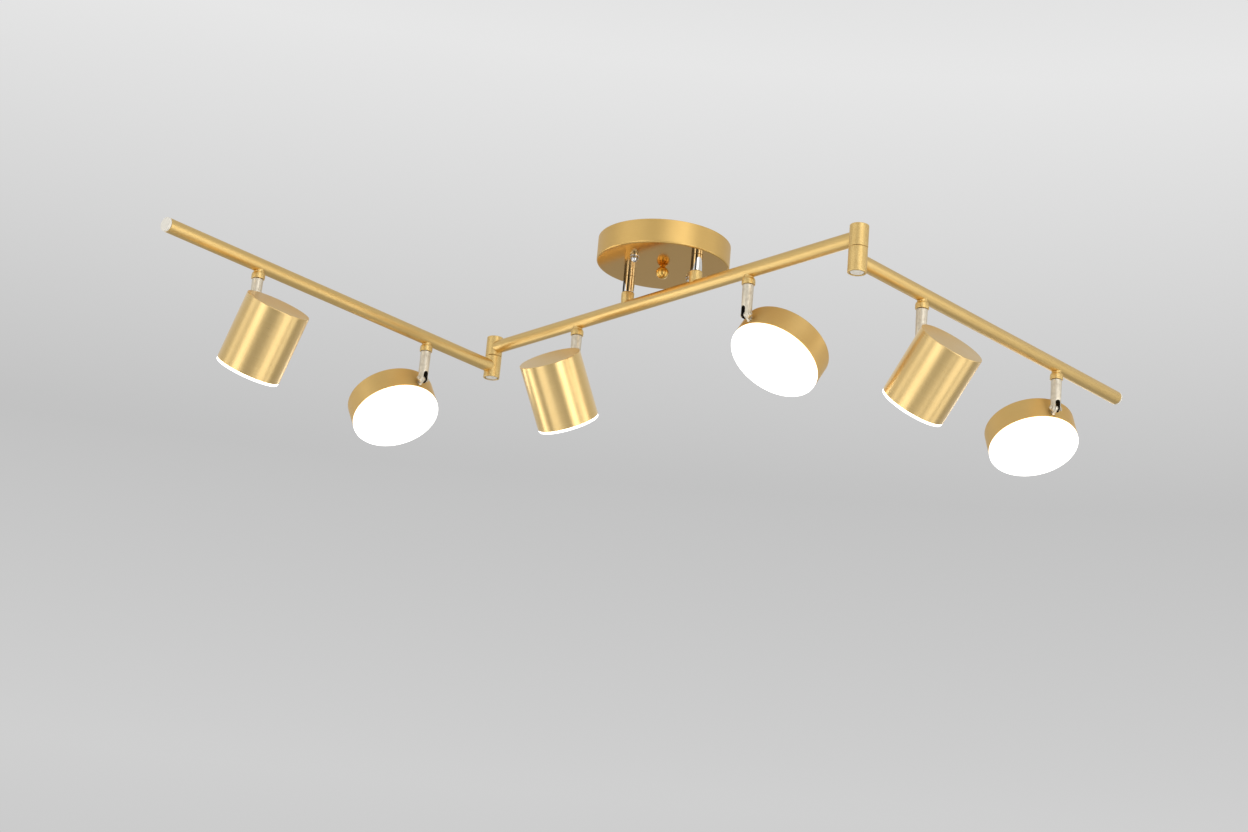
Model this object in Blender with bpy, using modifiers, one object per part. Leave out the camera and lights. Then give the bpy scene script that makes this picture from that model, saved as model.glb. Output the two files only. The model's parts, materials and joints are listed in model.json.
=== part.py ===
"""Zig-zag ceiling spot bar: a round canopy, a fixed centre bar, two arms that swing on vertical
knuckles, and six spots, each on a sleeve that turns and a tongue that tilts.

Metres, +Z up. The origin is on the ceiling, at the middle of the canopy, and the lamp hangs below it.
The centre bar lies along X. Every moving piece hangs on an empty that sits on its joint's axis.
"""

from math import cos, pi, radians, sin

import bmesh
import bpy

# Sides of a round shape: wide cans, tubes and fittings, and small holes and pins.
WIDE_STEPS = 32
TUBE_STEPS = 20
SMALL_STEPS = 12

# Driving dimensions.
GAP = 0.0003
CANOPY_RADIUS = 0.060
CANOPY_HEIGHT = 0.022
CANOPY_WALL = 0.0012
STRAP_LENGTH = 0.100
STRAP_WIDTH = 0.020
STRAP_THICKNESS = 0.0016
SCREW_OFFSET = 0.034
CEILING_SCREW_OFFSET = 0.018
FINIAL_RADIUS = 0.0058

TUBE_RADIUS = 0.00635
TUBE_WALL = 0.0010
BAR_DROP = 0.052
ARM_DROP = 0.0717
ARM_LENGTH = 0.4115
KNUCKLE_OFFSET = 0.242
KNUCKLE_RADIUS = 0.008
KNUCKLE_TOP = 0.0414
KNUCKLE_SPLIT = 0.0610
KNUCKLE_BOTTOM = 0.0830
KNUCKLE_WALL = 0.0018
KNUCKLE_WEB = 0.0020
PLUG_RADIUS = 0.0059
BOLT_RADIUS = 0.0025

COLLAR_RADIUS = 0.0058
COLLAR_BORE = 0.0030
COLLAR_BELOW = 0.0130
COLLAR_ABOVE = 0.0143
NIPPLE_RADIUS = 0.0026
POST_OFFSET = 0.0456
WIRE_BORE = 0.0015

PIVOT_DROP = 0.040
SLEEVE_TOP_RADIUS = 0.0054
SLEEVE_TIP_RADIUS = 0.0046
SLEEVE_END = 0.0435
SLOT_TOP = 0.0330
SLOT_WIDTH = 0.0036
PIN_RADIUS = 0.0012
PIN_HEAD_RADIUS = 0.0020
TONGUE_THICKNESS = 0.0030
TONGUE_WIDTH = 0.0052
TONGUE_TO_RIM = 0.0058
STUD_RADIUS = 0.0021
STUD_HEAD_RADIUS = 0.0029
TONGUE_TO_BACK = 0.0165

HOUSING_WALL = 0.0015
HOUSING_BACK = 0.0020
DISC_RADIUS = 0.04125
DISC_LENGTH = 0.0220
DRUM_RADIUS = 0.0287
DRUM_LENGTH = 0.0620
DIFFUSER_LIP = 0.0026
DIFFUSER_DEPTH = 0.0020
BOARD_THICKNESS = 0.0012

LEFT_AZIMUTH = -80.0
RIGHT_AZIMUTH = 96.5
INNER_SPOT = 0.0922
OUTER_SPOT = 0.3050
BAR_SPOT = 0.1144

# Each spot: its bar, its place along it, its shape, the way its light points, and its tilt below level.
SPOTS = (
    ("left_arm", OUTER_SPOT, "drum", -177.0, 58.0),
    ("left_arm", INNER_SPOT, "disc", 1.5, 58.0),
    ("centre_bar", -BAR_SPOT, "drum", 104.0, 54.0),
    ("centre_bar", BAR_SPOT, "disc", -91.0, 57.0),
    ("right_arm", INNER_SPOT, "drum", -183.0, 48.0),
    ("right_arm", OUTER_SPOT, "disc", -23.0, 64.0),
)

COLOURS = {
    "satin_brass": ((0.60, 0.40, 0.14), 0.32, 1.0),
    "brushed_brass": ((0.72, 0.50, 0.20), 0.28, 1.0),
    "chrome": ((0.80, 0.78, 0.74), 0.12, 1.0),
    "zinc_steel": ((0.55, 0.56, 0.57), 0.35, 1.0),
    "opal_acrylic": ((0.95, 0.94, 0.90), 0.40, 0.0),
    "cream_plastic": ((0.85, 0.80, 0.70), 0.40, 0.0),
    "board_white": ((0.88, 0.88, 0.86), 0.50, 0.0),
    "white_plastic": ((0.90, 0.90, 0.88), 0.45, 0.0),
    "grey_plastic": ((0.35, 0.36, 0.37), 0.50, 0.0),
}


def clear_scene():
    for obj in list(bpy.data.objects):
        bpy.data.objects.remove(obj, do_unlink=True)


def new_collection(name):
    collection = bpy.data.collections.new(name)
    bpy.context.scene.collection.children.link(collection)
    return collection


def make_material(name):
    colour, roughness, metallic = COLOURS[name]
    material = bpy.data.materials.new(name)
    material.use_nodes = True
    shader = material.node_tree.nodes["Principled BSDF"]
    shader.inputs["Base Color"].default_value = (*colour, 1.0)
    shader.inputs["Roughness"].default_value = roughness
    shader.inputs["Metallic"].default_value = metallic
    material.diffuse_color = (*colour, 1.0)
    return material


clear_scene()
LAMP = new_collection("zigzag_spot_bar")
TOOLS = new_collection("cutters_and_blanks")
MATERIALS = {name: make_material(name) for name in COLOURS}


def make_empty(name, parent=None, location=(0, 0, 0), rotation=(0, 0, 0)):
    empty = bpy.data.objects.new(name, None)
    LAMP.objects.link(empty)
    empty.empty_display_size = 0.01
    empty.parent = parent
    empty.location = location
    empty.rotation_euler = rotation
    return empty


def make_part(name, mesh, material, parent=None, location=(0, 0, 0), rotation=(0, 0, 0)):
    """A visible piece, or a tool for a Boolean where there is no material."""
    obj = bpy.data.objects.new(name, mesh)
    obj.parent = parent
    obj.location = location
    obj.rotation_euler = rotation
    if material is None:
        TOOLS.objects.link(obj)
        obj.hide_render = True
        obj.display_type = "WIRE"
    else:
        LAMP.objects.link(obj)
        mesh.materials.append(MATERIALS[material])
    return obj


def turned(name, outline, steps, material, **place):
    """A solid turned about its own Z axis. The outline is closed, its outer side listed top to bottom."""
    mesh = bpy.data.meshes.new(name)
    edges = [(i, (i + 1) % len(outline)) for i in range(len(outline))]
    if outline[0][0] == 0 and outline[-1][0] == 0:
        edges.pop()
    mesh.from_pydata([(radius, 0, z) for radius, z in outline], edges, [])
    obj = make_part(name, mesh, material, **place)
    screw = obj.modifiers.new("turn", "SCREW")
    screw.steps = steps
    screw.render_steps = steps
    screw.use_merge_vertices = True
    screw.merge_threshold = 0.00001
    return obj


def rod(name, radius, bottom, top, steps, material, **place):
    outline = [(0, top), (radius, top), (radius, bottom), (0, bottom)]
    return turned(name, outline, steps, material, **place)


def block(name, low, high, material, bevel=0.0, **place):
    mesh = bpy.data.meshes.new(name)
    shape = bmesh.new()
    bmesh.ops.create_cube(shape, size=1.0)
    for vertex in shape.verts:
        vertex.co = [a + (b - a) * (c + 0.5) for a, b, c in zip(low, high, vertex.co)]
    shape.to_mesh(mesh)
    shape.free()
    obj = make_part(name, mesh, material, **place)
    if bevel:
        edge = obj.modifiers.new("edges", "BEVEL")
        edge.width = bevel
        edge.segments = 2
    return obj


def combine(obj, tool, operation):
    boolean = obj.modifiers.new(operation.lower(), "BOOLEAN")
    boolean.operation = operation
    boolean.solver = "EXACT"
    boolean.object = tool


def arc(centre_radius, centre_z, radius, start, end, steps):
    """Points on an arc of an outline, from one angle to another, in degrees from level."""
    angles = [radians(start + (end - start) * i / steps) for i in range(steps + 1)]
    return [(centre_radius + radius * cos(a), centre_z + radius * sin(a)) for a in angles]


ALONG_X = (0, pi / 2, 0)
ALONG_Y = (-pi / 2, 0, 0)


def make_canopy():
    height, wall, edge = CANOPY_HEIGHT, CANOPY_WALL, 0.0015
    outline = [(CANOPY_RADIUS, 0)]
    outline += arc(CANOPY_RADIUS - edge, edge - height, edge, 0, -90, 3)
    outline += [(0, -height), (0, wall - height), (CANOPY_RADIUS - edge, wall - height)]
    outline += [(CANOPY_RADIUS - wall, edge - height), (CANOPY_RADIUS - wall, 0)]
    cover = turned("canopy_cover", outline, WIDE_STEPS + 8, "satin_brass")
    holes = [(POST_OFFSET, 0, 0.0036), (-POST_OFFSET, 0, 0.0036), (0, 0, 0.0018)]
    holes += [(0, SCREW_OFFSET, 0.0020), (0, -SCREW_OFFSET, 0.0020)]
    for number, (x, y, radius) in enumerate(holes):
        place = {"location": (x, y, 0)}
        hole = rod(f"canopy_hole_{number}", radius, -1.5 * height, -0.5 * height, SMALL_STEPS, None, **place)
        combine(cover, hole, "DIFFERENCE")


def make_strap():
    """The steel bar that is screwed to the ceiling, and that the canopy hangs on."""
    half = (STRAP_WIDTH / 2, STRAP_LENGTH / 2)
    low = (-half[0], -half[1], -STRAP_THICKNESS)
    strap = block("mounting_strap", low, (half[0], half[1], 0), "zinc_steel")
    for side in (-1, 1):
        for offset, radius in ((SCREW_OFFSET, 0.0018), (CEILING_SCREW_OFFSET, 0.0025)):
            place = {"location": (0, side * offset, 0)}
            hole = rod("strap_hole", radius, -0.01, 0.01, SMALL_STEPS, None, **place)
            combine(strap, hole, "DIFFERENCE")


def make_canopy_screw(name, side):
    """A stud from the strap down through the canopy, with the domed nut that shows below."""
    seat = -CANOPY_HEIGHT - GAP
    outline = [(0, -GAP), (0.0015, -GAP), (0.0015, seat), (0.0036, seat), (0.0036, seat - 0.0010)]
    outline += arc(0, seat - 0.0028, 0.0031, 20, -90, 4)[:-1] + [(0, seat - 0.0059)]
    turned(name, outline, SMALL_STEPS, "chrome", location=(0, side * SCREW_OFFSET, 0))


def make_finial():
    seat = -CANOPY_HEIGHT - GAP
    centre = seat - FINIAL_RADIUS
    outline = [(0, -0.016), (0.0015, -0.016), (0.0015, seat + 0.0001)]
    outline += arc(0, centre, FINIAL_RADIUS, 75, -90, 7)[:-1] + [(0, centre - FINIAL_RADIUS)]
    turned("finial_ball", outline, TUBE_STEPS, "satin_brass")


def make_driver():
    floor = CANOPY_WALL + GAP - CANOPY_HEIGHT
    low, high = (0.0125, -0.034, floor), (0.0375, 0.034, floor + 0.015)
    block("led_driver", low, high, "white_plastic", bevel=0.001)
    low, high = (-0.034, -0.015, floor), (-0.016, 0.015, floor + 0.011)
    terminal = block("terminal_block", low, high, "grey_plastic")
    for number in range(3):
        place = {"location": (-0.025, (number - 1) * 0.009, floor + 0.0055), "rotation": ALONG_X}
        hole = rod("terminal_hole", 0.0019, -0.02, 0.02, SMALL_STEPS, None, **place)
        combine(terminal, hole, "DIFFERENCE")


def make_post(side_name, side):
    """A chrome sleeve between canopy and bar, with a nipple at each end, and the nut inside the canopy."""
    top, seat = -CANOPY_HEIGHT - GAP, COLLAR_ABOVE - BAR_DROP + GAP
    outline = [(0.0032, top + 0.008), (0.0032, top + 0.0001), (0.0045, top), (0.0046, top - 0.006)]
    outline += [(SLEEVE_TOP_RADIUS, seat), (NIPPLE_RADIUS, seat - 0.0001)]
    outline += [(NIPPLE_RADIUS, seat - 0.007), (WIRE_BORE, seat - 0.007), (WIRE_BORE, top + 0.008)]
    place = {"location": (side * POST_OFFSET, 0, 0)}
    turned(f"post_sleeve_{side_name}", outline, SMALL_STEPS, "chrome", **place)
    floor = CANOPY_WALL - CANOPY_HEIGHT + GAP
    outline = [(0.0066, floor + 0.004), (0.0066, floor), (0.0040, floor), (0.0040, floor + 0.004)]
    turned(f"post_nut_{side_name}", outline, 6, "zinc_steel", **place)


def make_tube(name, start, end, below, above, knuckles, parent, drop):
    """A tube along its parent's X axis, with collars below and above, coped where it meets a knuckle."""
    place = {"parent": parent, "location": (0, 0, -drop), "rotation": ALONG_X}
    tube = rod(name, TUBE_RADIUS, start, end, TUBE_STEPS, "satin_brass", **place)
    collars = [(x, (-COLLAR_BELOW, 0)) for x in below] + [(x, (0, COLLAR_ABOVE)) for x in above]
    for x, (low, high) in collars:
        spot = {"parent": parent, "location": (x, 0, -drop), "rotation": (0, 0, 0.05)}
        combine(tube, rod(f"{name}_collar", COLLAR_RADIUS, low, high, SMALL_STEPS, None, **spot), "UNION")
    inner = TUBE_RADIUS - TUBE_WALL
    hollow = rod(f"{name}_hollow", inner, start - 0.01, end + 0.01, SMALL_STEPS, None, **place)
    combine(tube, hollow, "DIFFERENCE")
    for x, (low, high) in collars:
        spot = {"parent": parent, "location": (x, 0, -drop), "rotation": (0, 0, 0.1)}
        bore = rod(f"{name}_bore", COLLAR_BORE, 2 * low, 2 * high, SMALL_STEPS, None, **spot)
        combine(tube, bore, "DIFFERENCE")
    for x in knuckles:
        spot = {"parent": parent, "location": (x, 0, -drop), "rotation": (0, 0, 0.05)}
        cope = rod(f"{name}_cope", KNUCKLE_RADIUS + GAP, -0.02, 0.02, WIDE_STEPS, None, **spot)
        combine(tube, cope, "DIFFERENCE")


def wire_hole(knuckle, side, drop, parent, location):
    """A hole in the knuckle's wall, where its tube's wires come in."""
    bottom, top = sorted((0, side * 2 * KNUCKLE_RADIUS))
    place = {"parent": parent, "location": (location[0], 0, -drop), "rotation": ALONG_X}
    hole = rod(f"{knuckle.name}_hole", 0.0035, bottom, top, SMALL_STEPS, None, **place)
    combine(knuckle, hole, "DIFFERENCE")


def make_upper_knuckle(side_name, side):
    outer, inner, edge = KNUCKLE_RADIUS, KNUCKLE_RADIUS - KNUCKLE_WALL, 0.0006
    top, split = -KNUCKLE_TOP, -KNUCKLE_SPLIT
    outline = [(0, top), (outer - edge, top), (outer, top - edge), (outer, split)]
    outline += [(BOLT_RADIUS + GAP, split), (BOLT_RADIUS + GAP, split + KNUCKLE_WEB)]
    outline += [(inner, split + KNUCKLE_WEB), (inner, top - KNUCKLE_WEB), (0, top - KNUCKLE_WEB)]
    place = {"location": (side * KNUCKLE_OFFSET, 0, 0)}
    knuckle = turned(f"knuckle_upper_{side_name}", outline, TUBE_STEPS, "satin_brass", **place)
    wire_hole(knuckle, -side, BAR_DROP, None, place["location"])


def make_bolt(side_name, side):
    """The hollow pivot bolt that holds the knuckle's halves together, and lets the wires through."""
    low, high = -KNUCKLE_SPLIT - KNUCKLE_WEB - 2 * GAP, KNUCKLE_WEB - KNUCKLE_SPLIT + GAP
    head = 0.0016
    outline = [(0.0042, high + head), (0.0042, high), (BOLT_RADIUS, high), (BOLT_RADIUS, low)]
    outline += [(0.0042, low), (0.0042, low - head), (WIRE_BORE, low - head), (WIRE_BORE, high + head)]
    place = {"location": (side * KNUCKLE_OFFSET, 0, 0)}
    turned(f"knuckle_bolt_{side_name}", outline, SMALL_STEPS, "zinc_steel", **place)


def make_lower_knuckle(side_name, arm):
    outer, inner, edge = KNUCKLE_RADIUS, KNUCKLE_RADIUS - KNUCKLE_WALL, 0.0005
    split, bottom = -KNUCKLE_SPLIT - GAP, -KNUCKLE_BOTTOM
    outline = [(BOLT_RADIUS + GAP, split), (outer, split), (outer, bottom + edge)]
    outline += [(outer - edge, bottom), (inner, bottom), (inner, split - KNUCKLE_WEB)]
    outline += [(BOLT_RADIUS + GAP, split - KNUCKLE_WEB)]
    knuckle = turned(f"knuckle_lower_{side_name}", outline, TUBE_STEPS, "satin_brass", parent=arm)
    wire_hole(knuckle, 1, ARM_DROP, arm, (0, 0, 0))
    top, face = bottom + 0.0035, bottom + 0.0004
    outline = [(0, top), (PLUG_RADIUS, top), (PLUG_RADIUS, face + 0.0004)]
    outline += [(PLUG_RADIUS - 0.0004, face), (0, face)]
    turned(f"knuckle_plug_{side_name}", outline, TUBE_STEPS, "cream_plastic", parent=arm)


def make_end_cap(side_name, arm):
    face, seat, inner = ARM_LENGTH, ARM_LENGTH - 0.0020, TUBE_RADIUS - TUBE_WALL - GAP
    outline = [(0, face), (TUBE_RADIUS - 0.0006, face), (TUBE_RADIUS, face - 0.0006)]
    outline += [(TUBE_RADIUS, seat), (inner, seat), (inner, seat - 0.008), (0, seat - 0.008)]
    place = {"parent": arm, "location": (0, 0, -ARM_DROP), "rotation": ALONG_X}
    turned(f"end_cap_{side_name}", outline, TUBE_STEPS, "cream_plastic", **place)


def make_sleeve(name, swivel):
    """The chrome sleeve that turns in its collar. Its slotted end is the fork that holds the tongue."""
    top, end, tip = -COLLAR_BELOW - GAP, -SLEEVE_END, SLEEVE_TIP_RADIUS
    outline = [(0, top + 0.007), (NIPPLE_RADIUS, top + 0.007), (NIPPLE_RADIUS, top + 0.0001)]
    outline += [(SLEEVE_TOP_RADIUS, top), (SLEEVE_TOP_RADIUS, top - 0.001), (tip, end + 0.0022)]
    outline += [(tip - 0.0007, end + 0.0006), (tip - 0.0020, end), (0, end)]
    sleeve = turned(f"{name}_sleeve", outline, TUBE_STEPS - 4, "chrome", parent=swivel)
    slot_radius = 0.0040
    place = {"parent": swivel, "location": (0, 0, -SLOT_TOP - slot_radius), "rotation": ALONG_Y}
    half = SLOT_WIDTH / 2
    eye = rod(f"{name}_slot_end", slot_radius, -half, half, SMALL_STEPS, None, **place)
    combine(sleeve, eye, "DIFFERENCE")
    low, high = (-0.008, -half, -0.020), (0.008, half, 0)
    place = {"parent": swivel, "location": (0, 0, -SLOT_TOP - slot_radius)}
    combine(sleeve, block(f"{name}_slot", low, high, None, **place), "DIFFERENCE")
    place = {"parent": swivel, "location": (0, 0, -PIVOT_DROP), "rotation": ALONG_Y}
    bore = rod(f"{name}_fork_bore", PIN_RADIUS + GAP, -0.01, 0.01, SMALL_STEPS, None, **place)
    combine(sleeve, bore, "DIFFERENCE")
    return sleeve


def make_pin(name, swivel):
    """The pivot pin, with a rounded head on each side of the fork."""
    face = SLEEVE_TIP_RADIUS + GAP
    crown = face + 0.0010
    outline = [(0, crown), (PIN_HEAD_RADIUS * 0.6, crown - 0.0002), (PIN_HEAD_RADIUS, face + 0.0003)]
    outline += [(PIN_HEAD_RADIUS, face), (PIN_RADIUS, face), (PIN_RADIUS, -face)]
    outline += [(PIN_HEAD_RADIUS, -face), (PIN_HEAD_RADIUS, -face - 0.0003)]
    outline += [(PIN_HEAD_RADIUS * 0.6, 0.0002 - crown), (0, -crown)]
    place = {"parent": swivel, "location": (0, 0, -PIVOT_DROP), "rotation": ALONG_Y}
    turned(f"{name}_pivot_pin", outline, SMALL_STEPS, "chrome", **place)


def make_tongue(name, head, radius):
    """The flat tongue that tilts in the fork, with the stud that holds it to the housing's wall."""
    half, eye_radius = TONGUE_THICKNESS / 2, TONGUE_WIDTH / 2
    across = {"parent": head, "rotation": ALONG_Y}
    tongue = rod(f"{name}_tongue", eye_radius, -half, half, TUBE_STEPS, "chrome", **across)
    low = (-eye_radius, -half, GAP - TONGUE_TO_RIM)
    combine(tongue, block(f"{name}_bar", low, (eye_radius, half, 0), None, parent=head), "UNION")
    inside = TONGUE_TO_RIM + radius - 0.96 * (radius - HOUSING_WALL) + 0.0006
    root = 0.0006 - TONGUE_TO_RIM
    stud = rod(f"{name}_stud", STUD_RADIUS, -inside - 0.001, root, SMALL_STEPS, None, parent=head)
    combine(tongue, stud, "UNION")
    bottom = -inside - 0.0015
    wide = STUD_HEAD_RADIUS
    nut = rod(f"{name}_stud_head", wide, bottom, -inside, SMALL_STEPS, None, parent=head)
    combine(tongue, nut, "UNION")
    bore = rod(f"{name}_eye_bore", PIN_RADIUS + GAP, -0.01, 0.01, SMALL_STEPS, None, **across)
    combine(tongue, bore, "DIFFERENCE")


def make_housing(name, head, radius, length):
    """The brass can, open at its front, with its LED board on the back wall and its opal diffuser."""
    back, front, edge = -TONGUE_TO_BACK, length - TONGUE_TO_BACK, 0.0005
    inner = radius - HOUSING_WALL
    place = {"parent": head, "location": (0, 0, -TONGUE_TO_RIM - radius), "rotation": ALONG_X}
    outline = [(inner, front), (radius, front), (radius, back + edge), (radius - edge, back)]
    outline += [(0, back), (0, back + HOUSING_BACK), (inner, back + HOUSING_BACK)]
    housing = turned(f"{name}_housing", outline, WIDE_STEPS, "brushed_brass", **place)
    low = -TONGUE_TO_RIM - 0.006
    hole = rod(f"{name}_wall_hole", STUD_RADIUS + GAP, low, -0.002, SMALL_STEPS, None, parent=head)
    combine(housing, hole, "DIFFERENCE")

    rear = back + HOUSING_BACK + GAP
    board_radius = inner - 0.0030
    outline = [(board_radius, rear + BOARD_THICKNESS), (board_radius, rear)]
    outline += [(0.003, rear), (0.003, rear + BOARD_THICKNESS)]
    turned(f"{name}_led_board", outline, SMALL_STEPS, "board_white", **place)

    seat, plug = front + GAP, inner - GAP
    face, rim = front + DIFFUSER_LIP, radius - 0.0002
    outline = [(0, face), (rim - 0.0008, face), (rim, face - 0.0008), (rim, seat)]
    outline += [(plug, seat), (plug, front - DIFFUSER_DEPTH), (plug - 0.0015, front - DIFFUSER_DEPTH)]
    outline += [(plug - 0.0015, seat), (0, seat)]
    turned(f"{name}_diffuser", outline, WIDE_STEPS, "opal_acrylic", **place)


def make_spot(number, bars):
    bar, along, shape, azimuth, tilt = SPOTS[number - 1]
    parent, bar_azimuth, drop = bars[bar]
    name = f"spot_{number}"
    turn = (0, 0, radians(azimuth - bar_azimuth))
    swivel = make_empty(f"{name}_turn_axis", parent, (along, 0, -drop), turn)
    head = make_empty(f"{name}_tilt_axis", swivel, (0, 0, -PIVOT_DROP), (0, radians(tilt), 0))
    radius, length = (DISC_RADIUS, DISC_LENGTH) if shape == "disc" else (DRUM_RADIUS, DRUM_LENGTH)
    make_sleeve(name, swivel)
    make_pin(name, swivel)
    make_tongue(name, head, radius)
    make_housing(name, head, radius, length)


def settle(obj):
    """The piece's modifiers are applied, and its round faces shaded smooth up to its edges."""
    graph = bpy.context.evaluated_depsgraph_get()
    mesh = bpy.data.meshes.new_from_object(obj.evaluated_get(graph))
    mesh.name = obj.name
    mesh.shade_smooth()
    mesh.set_sharp_from_angle(angle=radians(30))
    return mesh


def settle_all():
    bpy.context.view_layer.update()
    pieces = [obj for obj in LAMP.objects if obj.type == "MESH"]
    meshes = [settle(obj) for obj in pieces]
    for obj, mesh in zip(pieces, meshes):
        obj.modifiers.clear()
        obj.data = mesh


def main():
    make_canopy()
    make_strap()
    make_finial()
    make_driver()
    for side_name, side in (("left", -1), ("right", 1)):
        make_canopy_screw(f"canopy_screw_{side_name}", side)
        make_post(side_name, side)
        make_upper_knuckle(side_name, side)
        make_bolt(side_name, side)
    reach = KNUCKLE_OFFSET - KNUCKLE_RADIUS / 2
    ends = (-KNUCKLE_OFFSET, KNUCKLE_OFFSET)
    below, above = (-BAR_SPOT, BAR_SPOT), (-POST_OFFSET, POST_OFFSET)
    make_tube("centre_tube", -reach, reach, below, above, ends, None, BAR_DROP)
    bars = {"centre_bar": (None, 0.0, BAR_DROP)}
    sides = (("left", -1, LEFT_AZIMUTH), ("right", 1, RIGHT_AZIMUTH))
    for side_name, side, azimuth in sides:
        place = {"location": (side * KNUCKLE_OFFSET, 0, 0), "rotation": (0, 0, radians(azimuth))}
        arm = make_empty(f"{side_name}_arm_axis", **place)
        make_lower_knuckle(side_name, arm)
        end = ARM_LENGTH - 0.0020 - GAP
        spots = (INNER_SPOT, OUTER_SPOT)
        make_tube(f"arm_tube_{side_name}", KNUCKLE_RADIUS / 2, end, spots, (), (0,), arm, ARM_DROP)
        make_end_cap(side_name, arm)
        bars[f"{side_name}_arm"] = (arm, azimuth, ARM_DROP)
    for number in range(1, len(SPOTS) + 1):
        make_spot(number, bars)
    settle_all()


main()
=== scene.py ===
"""Looks of the zig-zag ceiling spot bar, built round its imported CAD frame.

Every visible piece is measured from the CAD node that it stands for, in that node's own axes, and
is built again with round edges and fine steps. The pieces inside the canopy, knuckles and heads keep
their CAD mesh, some with softened edges. Metres, +Z up, and the ceiling is at z = 0.
"""

import json
from math import atan2, ceil, cos, degrees, pi, radians, sin, sqrt

import bmesh
import bpy
from mathutils import Matrix, Vector

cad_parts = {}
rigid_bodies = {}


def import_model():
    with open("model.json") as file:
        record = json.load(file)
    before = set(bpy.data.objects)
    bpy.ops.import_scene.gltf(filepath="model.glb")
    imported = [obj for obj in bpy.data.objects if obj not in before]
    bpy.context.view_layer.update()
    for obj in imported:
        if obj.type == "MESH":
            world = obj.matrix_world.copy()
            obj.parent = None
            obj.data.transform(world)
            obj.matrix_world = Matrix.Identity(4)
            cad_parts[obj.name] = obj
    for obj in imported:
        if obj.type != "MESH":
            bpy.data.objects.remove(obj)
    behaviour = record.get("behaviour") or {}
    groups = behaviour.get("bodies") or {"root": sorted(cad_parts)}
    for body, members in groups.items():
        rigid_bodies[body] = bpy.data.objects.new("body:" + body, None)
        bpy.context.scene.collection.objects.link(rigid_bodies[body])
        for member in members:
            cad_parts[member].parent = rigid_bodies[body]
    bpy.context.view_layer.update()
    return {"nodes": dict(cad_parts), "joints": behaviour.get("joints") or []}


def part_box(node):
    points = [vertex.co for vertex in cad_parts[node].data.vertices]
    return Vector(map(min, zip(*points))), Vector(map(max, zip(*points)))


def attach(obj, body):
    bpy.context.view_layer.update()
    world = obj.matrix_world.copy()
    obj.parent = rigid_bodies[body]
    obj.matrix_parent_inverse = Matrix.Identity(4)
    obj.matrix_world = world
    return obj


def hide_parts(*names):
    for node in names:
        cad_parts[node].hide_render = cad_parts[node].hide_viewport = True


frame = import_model()
JOINTS = {joint["name"]: joint for joint in frame["joints"]}
SIDES = ("left", "right")
SPOT_COUNT = sum(name.endswith("_tilt") for name in JOINTS)

# How many sides the round shapes have, the degrees in one step of a rounded edge, and the longest face.
WIDE_STEPS = 144
TUBE_STEPS = 72
SLEEVE_STEPS = 48
NUT_STEPS = 40
PIN_STEPS = 32
BORE_STEPS = 24
ARC_STEP = 15.0
LONGEST_FACE = 0.008

# How far a tube's end lies from its knuckle's axis, and how far a collar reaches below its tube's axis.
KNUCKLE_INSET = 0.004
COLLAR_DROP = 0.013

# The viewing angle: where the camera stands, its heading and its lens.
CAMERA_PLACE = (1.3984, -1.1988, -0.7182)
CAMERA_YAW = 50.11
CAMERA_PITCH = 16.71
CAMERA_ROLL = 5.03
CAMERA_LENS = 62.84

# The floor's depth below the ceiling and its radius, the depth the lights aim at, and their distance.
FLOOR_DROP = 3.6
FLOOR_RADIUS = 20.0
LAMP_MIDDLE = 0.1
LIGHT_DISTANCE = 3.0

# Soft lights: name, bearing and elevation in degrees, width and height in metres, power in watts.
SOFTBOXES = (
    ("window", 36, -10, (1.2, 2.6), 22),
    ("window_top", 20, 32, (1.8, 1.2), 10),
    ("right_low", 60, -38, (1.4, 1.4), 8),
    ("right_fill", 80, -5, (1.1, 2.0), 10),
    ("front_left", -45, -12, (1.0, 2.6), 12),
    ("left_low", -50, -42, (1.6, 1.2), 6),
    ("right_side_low", 95, -32, (0.9, 1.2), 3),
    ("front_below", 0, -62, (1.8, 1.0), 5),
    ("left_fill", -70, 12, (1.4, 1.2), 3.5),
    ("left_side", -98, -18, (1.2, 1.4), 9),
    ("left_back", -122, -36, (1.4, 1.4), 8),
    ("right_rim", 165, 0, (0.4, 2.0), 3),
)
# How bright the pale room is, from straight down, at 0, to straight up, at 1.
ROOM_TONES = (
    (0.0, 0.58), (0.38, 0.58), (0.44, 0.60), (0.50, 0.55), (0.56, 0.63),
    (0.63, 0.54), (0.72, 0.80), (0.82, 0.60), (1.0, 0.70),
)


# ---------------------------------------------------------------------------------------- frames

def placed(origin, x_axis, z_axis):
    """A matrix whose local Z lies along z_axis, and whose local X is as near x_axis as that allows."""
    z_way = Vector(z_axis).normalized()
    y_way = z_way.cross(Vector(x_axis)).normalized()
    x_way = y_way.cross(z_way)
    matrix = Matrix((x_way, y_way, z_way)).transposed().to_4x4()
    matrix.translation = Vector(origin)
    return matrix


def extent(node, place):
    """Lowest and highest corner of a CAD node, in the local axes of a matrix."""
    inverse = place.inverted()
    points = [inverse @ vertex.co for vertex in frame["nodes"][node].data.vertices]
    low = Vector(min(point[axis] for point in points) for axis in range(3))
    high = Vector(max(point[axis] for point in points) for axis in range(3))
    return low, high


def upright(node):
    """A frame with Z up, on the vertical centreline of a CAD node."""
    low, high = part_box(node)
    return Matrix.Translation(((low.x + high.x) / 2, (low.y + high.y) / 2, 0))


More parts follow.
